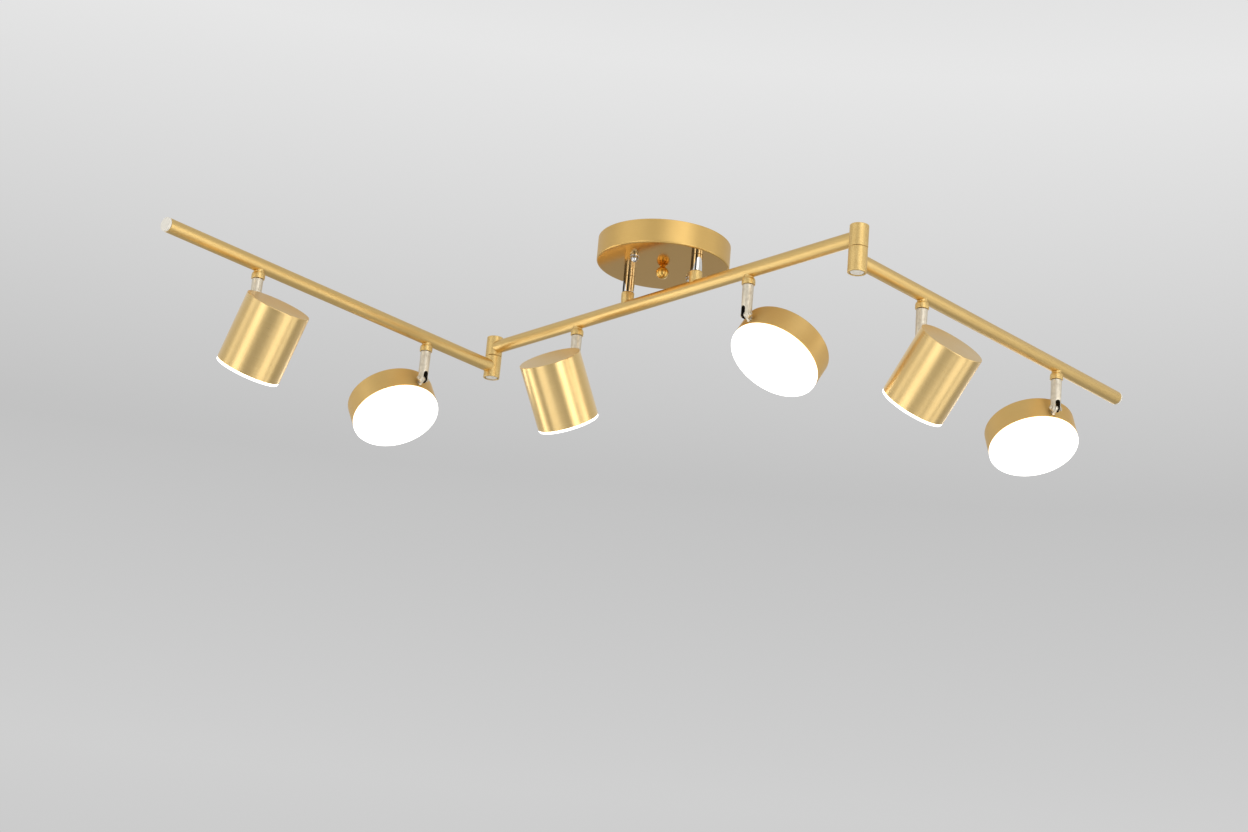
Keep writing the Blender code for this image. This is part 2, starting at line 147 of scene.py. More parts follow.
def arm_axis(side):
    """A frame on the centreline of an arm's tube: origin below its knuckle, and Z out along the tube."""
    pivot = Vector(JOINTS[f"{side}_arm_swing"]["pos_m"])
    on_arm = [joint for joint in JOINTS.values() if joint["parent"] == f"{side}_arm"]
    farthest = max((Vector(joint["pos_m"]) - pivot for joint in on_arm), key=lambda reach: reach.xy.length)
    low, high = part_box(f"end_cap_{side}")
    origin = (pivot.x, pivot.y, (low.z + high.z) / 2)
    return placed(origin, (0, 0, 1), (farthest.x, farthest.y, 0))


def spot_frames(number):
    """A spot's swivel frame, upright on its pin, and its head frame, with Z along its light."""
    tilt = JOINTS[f"spot_{number}_tilt"]
    pin = Vector(tilt["axis"])
    level = pin.cross(Vector((0, 0, 1)))
    slope = radians(-tilt["range_deg"][0])
    light = level * cos(slope) - Vector((0, 0, sin(slope)))
    swivel = placed(tilt["pos_m"], level, (0, 0, 1))
    head = placed(tilt["pos_m"], pin.cross(light), light)
    return swivel, head


# ---------------------------------------------------------------------------------------- meshes

def add_shape(name, shape, place, looks):
    """Makes an object of a bmesh, and frees the bmesh."""
    mesh = bpy.data.meshes.new(name)
    shape.to_mesh(mesh)
    shape.free()
    obj = bpy.data.objects.new(name, mesh)
    bpy.context.scene.collection.objects.link(obj)
    obj.matrix_world = place
    for look in looks:
        mesh.materials.append(look)
    return obj


def smooth(obj, angle=32.0):
    obj.data.shade_smooth()
    obj.data.set_sharp_from_angle(angle=radians(angle))
    weighted = obj.modifiers.new("even_normals", "WEIGHTED_NORMAL")
    weighted.keep_sharp = True
    weighted.weight = 80


def rounded(corners):
    """An outline of (radius, height) points from corners given as (radius, height, rounding)."""
    outline = []
    for index, (radius, height, rounding) in enumerate(corners):
        corner = Vector((radius, height))
        if rounding == 0 or index in (0, len(corners) - 1):
            outline.append(corner)
            continue
        back = (Vector(corners[index - 1][:2]) - corner).normalized()
        ahead = (Vector(corners[index + 1][:2]) - corner).normalized()
        opening = back.angle(ahead)
        centre = corner + (back + ahead).normalized() * rounding / sin(opening / 2)
        start = corner + back * rounding * cos(opening / 2) / sin(opening / 2) - centre
        end = corner + ahead * rounding * cos(opening / 2) / sin(opening / 2) - centre
        turn = start.angle_signed(end)
        steps = max(2, ceil(abs(degrees(turn)) / ARC_STEP))
        for step in range(steps + 1):
            angle = atan2(start.y, start.x) - turn * step / steps
            outline.append(centre + rounding * Vector((cos(angle), sin(angle))))
    return outline


def divided(outline, closed):
    """The same outline with its long straight stretches cut into short ones, for even faces."""
    points = []
    following = outline[1:] + (outline[:1] if closed else [])
    for start, end in zip(outline, following):
        pieces = max(1, ceil((end - start).length / LONGEST_FACE))
        points += [start.lerp(end, piece / pieces) for piece in range(pieces)]
    return points if closed else points + [outline[-1]]


def skin(shape, rings, closed):
    """Joins rings of vertices, each a list or one pole vertex, into a surface that faces outwards."""
    pairs = list(zip(rings, rings[1:]))
    if closed:
        pairs.append((rings[-1], rings[0]))
    for above, below in pairs:
        count = max(len(above), len(below))
        if count == 1:
            continue
        for k in range(count):
            corners = [above[k % len(above)], above[(k + 1) % len(above)]]
            corners += [below[(k + 1) % len(below)], below[k % len(below)]]
            shape.faces.new(list(dict.fromkeys(corners)))
    bmesh.ops.recalc_face_normals(shape, faces=shape.faces)


def lathe(name, corners, steps, place, *looks, closed=False):
    """A shape turned about local Z. Corners with a radius of 0 at both ends close it on its axis."""
    shape = bmesh.new()
    rings = []
    for point in divided(rounded(corners), closed):
        if point.x < 1e-7:
            rings.append([shape.verts.new((0, 0, point.y))])
            continue
        angles = [2 * pi * k / steps for k in range(steps)]
        rings.append([shape.verts.new((point.x * cos(a), point.x * sin(a), point.y)) for a in angles])
    skin(shape, rings, closed)
    obj = add_shape(name, shape, place, looks)
    smooth(obj)
    return obj


def prism(name, outline, low, high, place, look, edge=0.0):
    """An outline of (x, z) points, drawn out along local Y, with its edges rounded."""
    shape = bmesh.new()
    near = [shape.verts.new((x, low, z)) for x, z in outline]
    far = [shape.verts.new((x, high, z)) for x, z in outline]
    shape.faces.new(near)
    shape.faces.new(far[::-1])
    for k in range(len(outline)):
        following = (k + 1) % len(outline)
        shape.faces.new([near[k], far[k], far[following], near[following]])
    bmesh.ops.recalc_face_normals(shape, faces=shape.faces)
    if edge:
        rims = [e for e in shape.edges if e.calc_face_angle(0) > radians(50)]
        bmesh.ops.bevel(shape, geom=rims, offset=edge, segments=3, profile=0.5, affect="EDGES")
    obj = add_shape(name, shape, place, [look] if look else [])
    smooth(obj)
    return obj


def bore_cutter(radius, place):
    """A rod along local Y, to cut a pin's hole."""
    reach = 0.01
    corners = [(0, -reach, 0), (radius, -reach, 0), (radius, reach, 0), (0, reach, 0)]
    return lathe("bore", corners, BORE_STEPS, place @ Matrix.Rotation(pi / 2, 4, "X"))


def carve(obj, *cutters):
    """Cuts the cutters from a piece for good, and removes them. Cut faces take the cutter's material."""
    for cutter in cutters:
        boolean = obj.modifiers.new("cut", "BOOLEAN")
        boolean.operation = "DIFFERENCE"
        boolean.solver = "EXACT"
        boolean.material_mode = "TRANSFER"
        boolean.object = cutter
    bpy.context.view_layer.update()
    graph = bpy.context.evaluated_depsgraph_get()
    mesh = bpy.data.meshes.new_from_object(obj.evaluated_get(graph))
    obj.modifiers.clear()
    obj.data = mesh
    for cutter in cutters:
        bpy.data.objects.remove(cutter, do_unlink=True)
    smooth(obj)


def install(obj, body, slot, *nodes):
    """The piece rides on its body and stands for its CAD nodes, which it hides. The slot is not used."""
    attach(obj, body)
    if nodes:
        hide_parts(*nodes)


# ------------------------------------------------------------------------------------- materials

class Look:
    """A Principled material, with short ways to add the nodes that vary its surface."""

    def __init__(self, name, **sockets):
        self.material = bpy.data.materials.new(name)
        self.material.use_nodes = True
        self.tree = self.material.node_tree
        self.shader = self.tree.nodes["Principled BSDF"]
        for socket, value in sockets.items():
            self.shader.inputs[socket.replace("_", " ")].default_value = value
        self.place = self.add("ShaderNodeTexCoord").outputs["Object"]

    def add(self, kind, inputs=None, **settings):
        node = self.tree.nodes.new(kind)
        for setting, value in settings.items():
            setattr(node, setting, value)
        for socket, value in (inputs or {}).items():
            self.feed(value, node.inputs[socket])
        return node

    def feed(self, value, socket):
        if isinstance(value, bpy.types.NodeSocket):
            self.tree.links.new(value, socket)
        else:
            socket.default_value = value

    def stretched(self, scale):
        return self.add("ShaderNodeMapping", {"Vector": self.place, "Scale": scale}).outputs["Vector"]

    def turned(self, along):
        """A vector that changes fast along the axis and away from it, and slowly round it."""
        flat = self.add("ShaderNodeVectorMath", {0: self.place, 1: (1, 1, 0)}, operation="MULTIPLY")
        away = self.add("ShaderNodeVectorMath", {0: flat.outputs["Vector"]}, operation="LENGTH")
        parts = self.add("ShaderNodeSeparateXYZ", {0: self.place})
        reach = self.add("ShaderNodeMath", {0: parts.outputs["Z"], 1: away.outputs["Value"]})
        slow = [
            self.add("ShaderNodeMath", {0: parts.outputs[axis], 1: along}, operation="MULTIPLY")
            for axis in ("X", "Y")
        ]
        joined = {0: slow[0].outputs[0], 1: slow[1].outputs[0], 2: reach.outputs[0]}
        return self.add("ShaderNodeCombineXYZ", joined).outputs["Vector"]

    def noise(self, vector, scale, detail=3.0, roughness=0.55):
        inputs = {"Vector": vector, "Scale": scale, "Detail": detail, "Roughness": roughness}
        return self.add("ShaderNodeTexNoise", inputs).outputs["Fac"]

    def spread(self, factor, low, high, start=0.3, end=0.7):
        """Maps a noise's usual span, or another, to a range of values."""
        inputs = {"Value": factor, "From Min": start, "From Max": end, "To Min": low, "To Max": high}
        return self.add("ShaderNodeMapRange", inputs).outputs["Result"]

    def mixed(self, factor, first, second):
        node = self.add("ShaderNodeMix", data_type="RGBA")
        self.feed(factor, node.inputs["Factor"])
        for socket, colour in (("A", first), ("B", second)):
            value = colour if isinstance(colour, bpy.types.NodeSocket) else (*colour, 1.0)
            self.feed(value, [s for s in node.inputs if s.name == socket and s.type == "RGBA"][0])
        return [s for s in node.outputs if s.type == "RGBA"][0]

    def edges(self):
        """Near 1 along the outer edges of a piece, and 0 elsewhere: the mask for a painted edge highlight.
        """
        point = self.add("ShaderNodeNewGeometry").outputs["Pointiness"]
        return self.spread(point, 0.0, 1.0, 0.515, 0.56)

    def bump(self, height, strength, distance):
        inputs = {"Height": height, "Strength": strength, "Distance": distance}
        normal = self.add("ShaderNodeBump", inputs).outputs["Normal"]
        self.tree.links.new(normal, self.shader.inputs["Normal"])

    def paint(self, colour=None, roughness=None):
        for value, socket in ((colour, "Base Color"), (roughness, "Roughness")):
            if value is not None:
                self.tree.links.new(value, self.shader.inputs[socket])


def brass(name, deep, light, roughness, grain, anisotropic=0.0, grain_scale=1900.0, bumpy=0.02):
    """Lacquered brass, with a painted highlight along its edges. Its faint grain is drawn along the local Z
    axis, or turned round it.
    """
    look = Look(name, Metallic=1.0, Anisotropic=anisotropic)
    if grain == "turned":
        vector = look.turned(0.03)
        look.shader.inputs["Anisotropic Rotation"].default_value = 0.25
    else:
        vector = look.stretched((1.0, 1.0, 0.03))
    tangent = look.add("ShaderNodeTangent", direction_type="RADIAL", axis="Z").outputs["Tangent"]
    look.tree.links.new(tangent, look.shader.inputs["Tangent"])
    fine = look.noise(vector, grain_scale, 3.0, 0.6)
    cloudy = look.noise(look.place, 28.0, 3.0)
    streaky = look.mixed(look.spread(fine, 0.0, 1.0, 0.2, 0.8), deep, light)
    tinted = look.mixed(look.spread(cloudy, 0.0, 0.2), streaky, [value * 0.9 for value in deep])
    # Painted highlight: the edges are mixed towards a lighter colour.
    with_painted_highlight = look.mixed(look.edges(), tinted, [min(1.0, value * 1.12) for value in light])
    rough = look.add("ShaderNodeMath", operation="ADD")
    look.feed(look.spread(fine, roughness * 0.93, roughness * 1.06), rough.inputs[0])
    look.feed(look.spread(cloudy, -0.015, 0.02), rough.inputs[1])
    look.paint(with_painted_highlight, rough.outputs[0])
    look.bump(fine, bumpy, 0.0002)
    return look.material


def grainy_brass(name, deep, light, roughness):
    """Brass with the faint pebble of an electroplated casting, and a painted highlight along its edges."""
    look = Look(name, Metallic=1.0)
    pebble = look.noise(look.place, 1300.0, 3.0, 0.6)
    cloudy = look.noise(look.place, 90.0, 3.0)
    speckled = look.mixed(look.spread(pebble, 0.0, 1.0, 0.35, 0.65), deep, light)
    # Painted highlight: the edges are mixed towards a lighter colour.
    with_painted_highlight = look.mixed(look.edges(), speckled, [min(1.0, value * 1.1) for value in light])
    shaded = look.mixed(look.spread(cloudy, 0.0, 0.3), with_painted_highlight, [value * 0.8 for value in deep])
    look.paint(shaded, look.spread(pebble, roughness * 0.85, roughness * 1.2))
    look.bump(pebble, 0.35, 0.0003)
    return look.material


def nickel(name, tone, roughness, painted_reflection_bands=0.0):
    """Polished nickel, with faint turning marks and smudges, painted dark reflections in bands along local
    Z, and a painted highlight along its edges.
    """
    look = Look(name, Metallic=1.0)
    marks = look.noise(look.turned(0.02), 2400.0, 2.0)
    smudge = look.noise(look.place, 260.0, 3.0)
    clouded = look.mixed(look.spread(smudge, 0.0, 1.0), tone, [value * 0.88 for value in tone])
    # Painted reflection: near-black bands along local Z stand in for the dark room mirrored in the chrome.
    if painted_reflection_bands:
        reflection_band_noise = look.noise(look.stretched((1.0, 1.0, 0.0)), painted_reflection_bands, 1.0, 0.4)
        painted_dark = look.spread(reflection_band_noise, 1.0, 0.0, 0.44, 0.52)
        clouded = look.mixed(painted_dark, clouded, (0.035, 0.030, 0.022))
    # Painted highlight: the edges are mixed towards a lighter colour.
    edge_highlighted = look.mixed(look.edges(), clouded, [min(1.0, value * 1.1) for value in tone])
    look.paint(edge_highlighted, look.spread(smudge, roughness * 0.7, roughness * 1.6))
    look.bump(marks, 0.03, 0.0001)
    return look.material


def zinc(name):
    """Zinc-plated steel, with its faint crystal flakes and a yellowish passivation."""
    look = Look(name, Metallic=1.0)
    flakes = look.add("ShaderNodeTexVoronoi", {"Vector": look.place, "Scale": 420.0})
    grey = look.add("ShaderNodeRGBToBW", {"Color": flakes.outputs["Color"]}).outputs["Val"]
    film = look.noise(look.place, 70.0, 4.0)
    flaked = look.mixed(look.spread(grey, 0.0, 1.0, 0.1, 0.9), (0.42, 0.43, 0.44), (0.62, 0.63, 0.63))
    filmed = look.mixed(look.spread(film, 0.0, 0.45, 0.4, 0.7), flaked, (0.58, 0.52, 0.38))
    look.paint(filmed, look.spread(grey, 0.28, 0.42, 0.1, 0.9))
    look.bump(look.noise(look.place, 1800.0, 3.0), 0.06, 0.0002)
    return look.material


def plastic(name, tone, shade, roughness, scale=900.0, bumpy=0.12, **sockets):
    """Moulded plastic with a spark-eroded surface, its colour drifting at random between two tones."""
    look = Look(name, **sockets)
    pebble = look.noise(look.place, scale, 3.0, 0.6)
    cloudy = look.noise(look.place, scale / 12, 3.0)
    toned = look.mixed(look.spread(cloudy, 0.0, 1.0), tone, shade)
    look.paint(toned, look.spread(pebble, roughness * 0.85, roughness * 1.15))
    look.bump(pebble, bumpy, 0.0002)
    return look.material


def circuit_board(name):
    """A white-masked board with a ring of small yellow light-emitting chips."""
    look = Look(name, Roughness=0.45)
    chips = look.add("ShaderNodeTexVoronoi", {"Vector": look.place, "Scale": 210.0}, distance="CHEBYCHEV")
    near = look.spread(chips.outputs["Distance"], 1.0, 0.0, 0.28, 0.32)
    mask = look.noise(look.place, 500.0, 3.0)
    white = look.mixed(look.spread(mask, 0.0, 1.0), (0.90, 0.90, 0.88), (0.82, 0.82, 0.80))
    look.paint(look.mixed(near, white, (0.85, 0.66, 0.12)), look.spread(mask, 0.36, 0.52))
    look.bump(near, 0.3, 0.0003)
    return look.material


def painted_shade_slot(name):
    """Painted shade for the inside of a sawn slot: a near-black colour where the slot lies in shade, with
    its saw marks.
    """
    look = Look(name, Metallic=0.6, Specular_IOR_Level=0.2)
    marks = look.noise(look.stretched((1.0, 1.0, 0.1)), 2500.0, 2.0)
    painted_dark = look.mixed(marks, (0.010, 0.009, 0.008), (0.035, 0.030, 0.024))
    look.paint(painted_dark, look.spread(marks, 0.5, 0.8))
    look.bump(marks, 0.1, 0.0001)
    return look.material


OPAL = (1.0, 0.985, 0.95)
LOOKS = {
    "tube": brass("tube_brass", (0.75, 0.515, 0.190), (0.81, 0.58, 0.240), 0.38, "drawn", 0.2, 1100.0, 0.03),
    "canopy_side": brass("canopy_side_brass", (0.71, 0.46, 0.150), (0.75, 0.505, 0.180), 0.44, "turned",
                         0.2),
    "canopy_face": brass("canopy_face_brass", (0.70, 0.415, 0.108), (0.74, 0.445, 0.126), 0.15, "turned"),
    "drum": brass("drum_brass", (0.80, 0.565, 0.235), (0.85, 0.62, 0.285), 0.30, "turned", 0.4),
    "disc": brass("disc_brass", (0.73, 0.49, 0.175), (0.78, 0.53, 0.205), 0.46, "turned", 0.1),
    "fitting": grainy_brass("fitting_brass", (0.69, 0.460, 0.160), (0.91, 0.68, 0.30), 0.40),
    "ball": brass("ball_brass", (0.74, 0.45, 0.11), (0.80, 0.50, 0.14), 0.28, "turned"),
    "nickel": nickel("warm_nickel", (0.77, 0.70, 0.57), 0.46),
    "chrome": nickel("bright_chrome", (0.80, 0.80, 0.79), 0.07, 330.0),
    "post": nickel("post_chrome", (0.88, 0.87, 0.84), 0.07, 240.0),
    # The slot's near-black colour is painted shade.
    "slot": painted_shade_slot("slot_painted_shade"),
    "zinc": zinc("zinc_plate"),
    "cream": plastic("cream_plastic", (0.84, 0.80, 0.71), (0.80, 0.755, 0.66), 0.40, 420.0, 0.03),
    "driver": plastic("driver_plastic", (0.86, 0.86, 0.84), (0.80, 0.80, 0.78), 0.48),
    "terminal": plastic("terminal_plastic", (0.30, 0.31, 0.32), (0.24, 0.25, 0.26), 0.5),
    "board": circuit_board("circuit_board"),
    "opal": plastic("opal_acrylic", (0.95, 0.94, 0.90), (0.91, 0.90, 0.86), 0.32, 300.0, 0.03,
                    Emission_Color=(*OPAL, 1.0), Emission_Strength=1.5),
}


# ---------------------------------------------------------------------------------------- canopy

def make_canopy():
    low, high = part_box("canopy_cover")
    radius, wall = (high.x - low.x) / 2, 0.0012
    bottom, top, edge = low.z, high.z, 0.0016
    corners = [(0, bottom, 0), (radius, bottom, edge), (radius, top, 0.0003)]
    corners += [(radius - wall, top, 0.0003), (radius - wall, bottom + wall, 0.0008), (0, bottom + wall, 0)]
    place = upright("canopy_cover")
    shell = lathe("canopy_shell", corners, WIDE_STEPS, place, LOOKS["canopy_side"], LOOKS["canopy_face"])
    for face in shell.data.polygons:
        under = face.normal.z < -0.8 and face.center.z < bottom + wall / 2
        face.material_index = 1 if under else 0
    install(shell, "root", "satin_brass", "canopy_cover")


def make_finial():
    low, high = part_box("finial_ball")
    radius = (high.x - low.x) / 2
    centre = low.z + radius
    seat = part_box("canopy_cover")[0].z
    neck, stud, sunk = radius * 0.36, 0.0015, 0.001
    flange = neck * 1.7
    steps, step_angle = 22, 7.3
    corners = [(0, low.z, 0)]
    for step in range(1, steps):
        angle = radians(-90 + step * step_angle)
        corners.append((radius * cos(angle), centre + radius * sin(angle), 0))
    corners += [(neck, seat - 0.0002, 0), (flange, seat - 0.0001, 0), (flange, seat + sunk, 0)]
    corners += [(stud, seat + sunk, 0), (stud, high.z, 0.0003), (0, high.z, 0)]
    ball = lathe("finial_ball_polished", corners, TUBE_STEPS, upright("finial_ball"), LOOKS["ball"])
    install(ball, "root", "satin_brass", "finial_ball")


def make_cap_nut(side):
    """A hexagonal cap nut on its washer, on the stud that comes down from the strap."""
    node = f"canopy_screw_{side}"
    low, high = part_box(node)
    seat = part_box("canopy_cover")[0].z
    washer, corner, dome, stud_radius = (high.x - low.x) / 2 + 0.0005, 0.0037, 0.0030, 0.0015
    under, middle = seat - 0.0009, seat - 0.0034
    place = upright(node)
    corners = [(0, under, 0), (washer, under, 0.0002), (washer, seat, 0.0002)]
    corners += [(stud_radius, seat, 0), (stud_radius, high.z, 0.0003), (0, high.z, 0)]
    stud = lathe(f"{node}_stud", corners, NUT_STEPS, place, LOOKS["chrome"])
    install(stud, "root", "chrome", node)
    steps, step_angle = 9, 11
    corners = [(0, low.z, 0)]
    for step in range(1, steps):
        angle = radians(-90 + step * step_angle)
        corners.append((dome * cos(angle), middle + (middle - low.z) * sin(angle), 0))
    corners += [(corner, middle + 0.0003, 0.0003), (corner, under, 0), (0, under, 0)]
    nut = lathe(f"{node}_cap_nut", corners, NUT_STEPS, place, LOOKS["chrome"])
    sides, first_flat = 6, 15
    across, away = corner * 0.90, corner * 2.9
    flats = []
    for side_number in range(sides):
        spin = Matrix.Rotation(radians(360 / sides * side_number + first_flat), 4, "Z")
        square = [(across, middle - 0.0002), (away, middle - 0.0002)]
        square += [(away, seat - 0.0010), (across, seat - 0.0010)]
        flats.append(prism("flat", square, -2 * corner, 2 * corner, place @ spin, None))
    carve(nut, *flats)
    install(nut, "root", "chrome")


def make_post(side):
    """The chrome sleeve between the canopy and the bar."""
    node = f"post_sleeve_{side}"
    low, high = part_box(node)
    radius = (high.x - low.x) / 2
    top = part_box("canopy_cover")[0].z
    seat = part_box("centre_tube")[1].z + 0.0003
    thread, neck = 0.0032, 0.0026
    corners = [(0, high.z, 0), (thread, high.z, 0.0003), (thread, top, 0), (radius, top - 0.0001, 0.0002)]
    corners += [(radius, seat + 0.0001, 0.0003), (neck, seat, 0), (neck, low.z, 0.0002), (0, low.z, 0)]
    sleeve = lathe(f"{node}_polished", corners[::-1], TUBE_STEPS, upright(node), LOOKS["post"])
    install(sleeve, "root", "chrome", node)


# ------------------------------------------------------------------------------ tubes and joints

def make_tube(node, body, place, start, end):
    """A drawn tube along local Z, with a faint chamfer at its ends."""
    low, high = extent(node, place)
    radius = (high.y - low.y) / 2
    wall, edge = 0.0010, 0.0003
    inner = radius - wall
    corners = [(inner, start, 0), (radius, start, edge), (radius, end, edge), (inner, end, 0)]
    tube = lathe(f"{node}_drawn", corners, TUBE_STEPS, place, LOOKS["tube"], closed=True)
    install(tube, body, "satin_brass", node)
    return radius


def make_collar(name, body, place, tube_radius, length, shoulder):
    """A cast collar that stands on a tube along local Z, brazed to it, with a rounded shoulder below."""
    mouth, fillet, rim, bore = 0.0059, 0.0004, 0.0004, 0.0030
    root = mouth - shoulder
    shape = bmesh.new()
    turns = [2 * pi * k / TUBE_STEPS for k in range(TUBE_STEPS)]

    def ring(reach, height=None, on_tube=0.0):
        """A level ring, or one that follows the tube's surface at a small distance."""
        points = []
        for angle in turns:
            across = reach * sin(angle)
            rise = sqrt(tube_radius ** 2 - across ** 2) + on_tube if height is None else height
            points.append(shape.verts.new((reach * cos(angle), across, rise)))
        return points

    sunk = 0.0020
    rings = [[shape.verts.new((0, 0, sunk))], ring(root - 0.0010, sunk)]
    for step in range(6, -1, -1):
        angle = radians(15 * step)
        rings.append(ring(root + fillet * (1 - cos(angle)), on_tube=fillet * (1 - sin(angle)) - 0.00008))
    start, band = tube_radius + 0.0006, length - 0.0030
    for step in range(9):
        angle = radians(90 * step / 8)
        rings.append(ring(root + shoulder * sin(angle), start + (band - start) * (1 - cos(angle))))
    for step in range(7):
        angle = radians(15 * step)
        rings.append(ring(mouth - rim + rim * cos(angle), length - rim + rim * sin(angle)))
    rings += [ring(bore, length), ring(bore, length - 0.0015), [shape.verts.new((0, 0, length - 0.0015))]]
    skin(shape, rings, False)
    collar = add_shape(name, shape, place, [LOOKS["fitting"]])
    smooth(collar, 40)
    install(collar, body, "satin_brass")


def make_upper_knuckle(side):
    node = f"knuckle_upper_{side}"
    low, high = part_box(node)
    radius = (high.x - low.x) / 2
    corners = [(0, low.z, 0), (radius - 0.0004, low.z, 0), (radius, low.z + 0.0003, 0.0002)]
    corners += [(radius, high.z, 0.0007), (0, high.z, 0)]
    knuckle = lathe(f"{node}_turned", corners, TUBE_STEPS, upright(node), LOOKS["fitting"])
    install(knuckle, "root", "satin_brass", node)


def make_lower_knuckle(side):
    node = f"knuckle_lower_{side}"
    pivot = Matrix.Translation(JOINTS[f"{side}_arm_swing"]["pos_m"])
    low, high = extent(node, pivot)
    radius, hollow, sunk = (high.x - low.x) / 2, 0.0062, 0.0022
    corners = [(0, low.z + sunk, 0), (hollow, low.z + sunk, 0), (hollow, low.z, 0.0003)]
    corners += [(radius, low.z, 0.0006), (radius, high.z - 0.0003, 0.0002), (radius - 0.0004, high.z, 0)]
    corners += [(0, high.z, 0)]
    knuckle = lathe(f"{node}_turned", corners, TUBE_STEPS, pivot, LOOKS["fitting"])
    install(knuckle, f"{side}_arm", "satin_brass", node)

    node = f"knuckle_plug_{side}"
    low, high = extent(node, pivot)
    radius = (high.x - low.x) / 2
    corners = [(0, low.z, 0), (radius * 0.45, low.z, 0), (radius * 0.55, low.z + 0.0003, 0)]
    corners += [(radius * 0.62, low.z, 0), (radius, low.z, 0.0004), (radius, high.z, 0), (0, high.z, 0)]
    plug = lathe(f"{node}_moulded", corners, TUBE_STEPS, pivot, LOOKS["cream"])
    install(plug, f"{side}_arm", "cream_plastic", node)


def make_end_cap(side, place):
    node = f"end_cap_{side}"
    low, high = extent(node, place)
    radius, inner = (high.x - low.x) / 2, 0.0050
    face, lip = high.z, 0.0020
    corners = [(0, low.z, 0), (inner, low.z, 0.0004), (inner, face - lip, 0)]
    corners += [(radius, face - lip, 0.0002), (radius, face, 0.0007), (0, face + 0.0001, 0)]
    cap = lathe(f"{node}_moulded", corners, TUBE_STEPS, place, LOOKS["cream"])
    install(cap, f"{side}_arm", "cream_plastic", node)


def make_bars():
    centre = placed((0, 0, JOINTS["spot_3_turn"]["pos_m"][2] + COLLAR_DROP), (0, 0, 1), (1, 0, 0))
    reach = JOINTS["right_arm_swing"]["pos_m"][0] - KNUCKLE_INSET
    radius = make_tube("centre_tube", "root", centre, -reach, reach)
    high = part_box("centre_tube")[1].z
    for side in SIDES:
        low_corner, high_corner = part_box(f"post_sleeve_{side}")
        x = (low_corner.x + high_corner.x) / 2
        spot = placed((x, 0, centre.translation.z), (1, 0, 0), (0, 0, 1))
        make_collar(f"post_collar_{side}", "root", spot, radius, high - centre.translation.z, 0.0002)
    for side in SIDES:
        place = arm_axis(side)
        end = extent(f"arm_tube_{side}", place)[1].z
        make_tube(f"arm_tube_{side}", f"{side}_arm", place, KNUCKLE_INSET, end)
        make_end_cap(side, place)
        make_upper_knuckle(side)
        make_lower_knuckle(side)
    for number in range(1, SPOT_COUNT + 1):
        turn = JOINTS[f"spot_{number}_turn"]
        tube_frame = centre if turn["parent"] == "root" else arm_axis(turn["parent"].removesuffix("_arm"))
        origin = Vector(turn["pos_m"]) + Vector((0, 0, COLLAR_DROP))
        place = placed(origin, tube_frame.col[2].xyz, (0, 0, -1))
        make_collar(f"spot_{number}_collar", turn["parent"], place, radius, COLLAR_DROP, 0.0014)


# ----------------------------------------------------------------------------------------- spots

def make_sleeve(number, swivel):
    """The tapered nickel sleeve. Its slotted end holds the tongue on a round-headed pin."""
    node = f"spot_{number}_sleeve"
    low, high = extent(node, swivel)
    wide, tip, top = (high.y - low.y) / 2 - 0.0005, 0.0046, high.z - 0.007
    end = low.z
    corners = [(0, high.z, 0), (0.0026, high.z, 0.0003), (0.0026, top, 0), (wide, top, 0.0003)]
    corners += [(wide, top - 0.0012, 0.0002), (tip, end + 0.0022, 0.001), (tip - 0.0018, end, 0.0008)]
    corners += [(0, end, 0)]
    sleeve = lathe(f"{node}_polished", corners[::-1], SLEEVE_STEPS, swivel, LOOKS["nickel"])
    half, deep, through = 0.0024, 0.0070, 0.010
    round_end = [(half * cos(radians(a)), deep - half + half * sin(radians(a))) for a in range(0, 181, 15)]
    outline = [(half, -through), *round_end, (-half, -through)]
    sideways = swivel @ Matrix.Rotation(pi / 2, 4, "Z")
    # The cutter's painted-shade material goes onto the slot's cut faces.
    cutter = prism("slot", outline, -through, through, sideways, LOOKS["slot"])
    carve(sleeve, cutter, bore_cutter(0.0015, swivel))
    install(sleeve, f"spot_{number}_swivel", "chrome", node)


def make_pin(number, swivel):
    node = f"spot_{number}_pivot_pin"
    across = swivel @ Matrix.Rotation(pi / 2, 4, "X")
    low, high = extent(node, across)
    head, shank, crown = (high.x - low.x) / 2, 0.0012, high.z
    face, dimple, deep = crown - 0.0010, 0.0009, 0.0008
    half = [(0, deep - crown, 0), (dimple * 0.8, deep - crown, 0.0002), (dimple, -crown, 0.0002)]
    half += [(head * 0.7, -crown, 0.0003), (head, -crown + 0.0005, 0.0002)]
    half += [(head, -face, 0.0001), (shank, -face, 0)]
    corners = half + [(radius, -height, rounding) for radius, height, rounding in half[::-1]]
    pin = lathe(f"{node}_polished", corners, PIN_STEPS, across, LOOKS["nickel"])
    install(pin, f"spot_{number}_swivel", "chrome", node)


